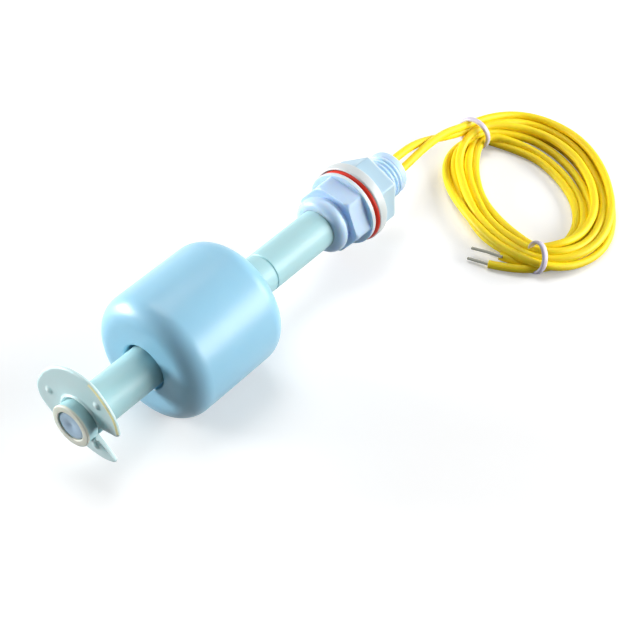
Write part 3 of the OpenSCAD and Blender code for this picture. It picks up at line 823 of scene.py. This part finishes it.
# %% Inner finishes
epoxy = surface("epoxy, cast", "#2B2D33", 0.3, 1.55)  # near black, with a wet shine
glass = surface("soda glass, drawn", "#BFE3CF", 0.08, 1.5,
                Transmission_Weight=0.9)  # clear and green, with sharp highlights
plated = surface("nickel-iron, plated", "#C9C9C4", 0.25, Metallic=1.0)  # pale and bright
copper = surface("copper, drawn", "#C98A5A", 0.3, Metallic=1.0)  # warm, a soft metal shine
solder = surface("tin solder, set", "#B9BCC0", 0.35, Metallic=1.0)  # grey, a little dull
sleeve = surface("polyolefin, shrunk", "#23262B", 0.5, PP)  # black and half matt
ferrite = surface("ferrite, sintered", "#3A3C40", 0.6, 2.0)  # dark grey and dry
INSIDE = [(epoxy, ["potting_plug"]), (glass, ["reed_glass"]),
          (plated, ["reed_blade_fixed", "reed_lead_front", "reed_blade_moving"]),
          (copper, ["return_wire"]), (solder, ["solder_joints"]), (sleeve, ["shrink_sleeves"]),
          (lead_pvc, ["lead_inner_a", "lead_inner_b"]), (ferrite, ["ring_magnet"])]
for finish, nodes in INSIDE:
    for node in nodes:
        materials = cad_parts[node].data.materials
        materials.clear()
        materials.append(finish)
print(sum(len(nodes) for _, nodes in INSIDE), "inner nodes finished")

# %% [markdown]
# ## The floor
# A product photo has a white ground. The floor here is white paint where it is looked
# at, straight, in a reflection or through glass, and a darker matt surface for the light
# that bounces off it, so it doesn't fill the shadows from below. It keeps the part's
# shadow, and fades to plain white a hand's width away.

# %% Floor
def backdrop_rays(tree):
    """1 where the backdrop is looked at, straight or in a reflection or through glass."""
    path = add(tree, "ShaderNodeLightPath").outputs
    first = add(tree, "ShaderNodeMath", {0: path["Is Camera Ray"], 1: path["Is Glossy Ray"]},
                operation="MAXIMUM").outputs[0]
    return add(tree, "ShaderNodeMath", {0: first, 1: path["Is Transmission Ray"]},
               operation="MAXIMUM").outputs[0]


WHITE, FADE_FROM, FADE_TO = (1, 1, 1, 1), 0.16, 0.34
bm = bmesh.new()
bmesh.ops.create_grid(bm, x_segments=1, y_segments=1, size=3)
floor_mesh = bpy.data.meshes.new("floor")
bm.to_mesh(floor_mesh)
bm.free()
floor = bpy.data.objects.new("floor", floor_mesh)
bpy.context.scene.collection.objects.link(floor)
print("floor:", round(floor.dimensions.x), "m wide")

# %% [markdown]
# ## White paint, matt
# A matt paint with a faint glow of its own stays white under soft lamps, so the lamps
# can stay low. The glow is only what the eye sees, and lights nothing.

# %% Floor finish
paint = bpy.data.materials.new("white paint, matt")
paint.use_nodes = True
tree = paint.node_tree
tree.nodes.clear()
matt = add(tree, "ShaderNodeBsdfDiffuse", {"Color": (0.9, 0.9, 0.9, 1)})
glow = add(tree, "ShaderNodeEmission", {"Color": WHITE, "Strength": 0.22})
near = add(tree, "ShaderNodeAddShader", {0: matt.outputs[0], 1: glow.outputs[0]})
plain = add(tree, "ShaderNodeEmission", {"Color": WHITE, "Strength": 1.0})
place = add(tree, "ShaderNodeTexCoord").outputs["Object"]
reach = add(tree, "ShaderNodeVectorMath", {0: place}, operation="LENGTH").outputs["Value"]
fade = add(tree, "ShaderNodeMapRange", {"Value": reach, "From Min": FADE_FROM,
                                        "From Max": FADE_TO}, interpolation_type="SMOOTHSTEP")
seen = add(tree, "ShaderNodeMixShader", {0: fade.outputs["Result"], 1: near.outputs[0],
                                         2: plain.outputs[0]})
dark = add(tree, "ShaderNodeBsdfDiffuse", {"Color": (0.18, 0.18, 0.18, 1)})
either = add(tree, "ShaderNodeMixShader", {0: backdrop_rays(tree), 1: dark.outputs[0],
                                           2: seen.outputs[0]})
add(tree, "ShaderNodeOutputMaterial", {"Surface": either.outputs[0]})
floor_mesh.materials.append(paint)
print("floor:", len(tree.nodes), "nodes")

# %% [markdown]
# ## The room
# The world is white where it is looked at, and gives only a weak even fill otherwise.
# The photo's shades are deep, so most of the light has to come from the boxes.

# %% World
FILL = 0.07
world = bpy.data.worlds.new("white room")
bpy.context.scene.world = world
world.use_nodes = True
tree = world.node_tree
tree.nodes.clear()
fill = add(tree, "ShaderNodeBackground", {"Color": WHITE, "Strength": FILL})
seen = add(tree, "ShaderNodeBackground", {"Color": WHITE, "Strength": 1.0})
either = add(tree, "ShaderNodeMixShader", {0: backdrop_rays(tree), 1: fill.outputs[0],
                                           2: seen.outputs[0]})
add(tree, "ShaderNodeOutputWorld", {"Surface": either.outputs[0]})
print("world:", len(tree.nodes), "nodes")

# %% [markdown]
# ## The light boxes
# The highlights on the float tell where the photo's lights stood: a long box low on the
# right, a smaller one behind on the left, and a weak one above. Area lamps of about
# those shapes give the same soft streaks.

# %% Lights
AIM = Vector((0.01, -0.005, 0.012))


def softbox(name, place, wide, tall, watts):
    lamp = bpy.data.lights.new(name, "AREA")
    lamp.shape = "RECTANGLE"
    lamp.size, lamp.size_y, lamp.energy = wide, tall, watts
    obj = bpy.data.objects.new(name, lamp)
    bpy.context.scene.collection.objects.link(obj)
    obj.location = place
    obj.rotation_euler = (AIM - Vector(place)).to_track_quat("-Z", "Y").to_euler()
    print(name, watts, "W")


softbox("right_box", (0.37, -0.42, 0.17), 0.60, 0.28, 4.9)
softbox("left_box", (-0.22, 0.45, 0.09), 0.26, 0.16, 3.8)
softbox("top_box", (0.12, 0.18, 0.60), 0.40, 0.40, 1.8)

# %% [markdown]
# ## Colours as written
# The Standard view shows a colour as its hex code says.

# %% Finish
bpy.context.scene.view_settings.view_transform = "Standard"
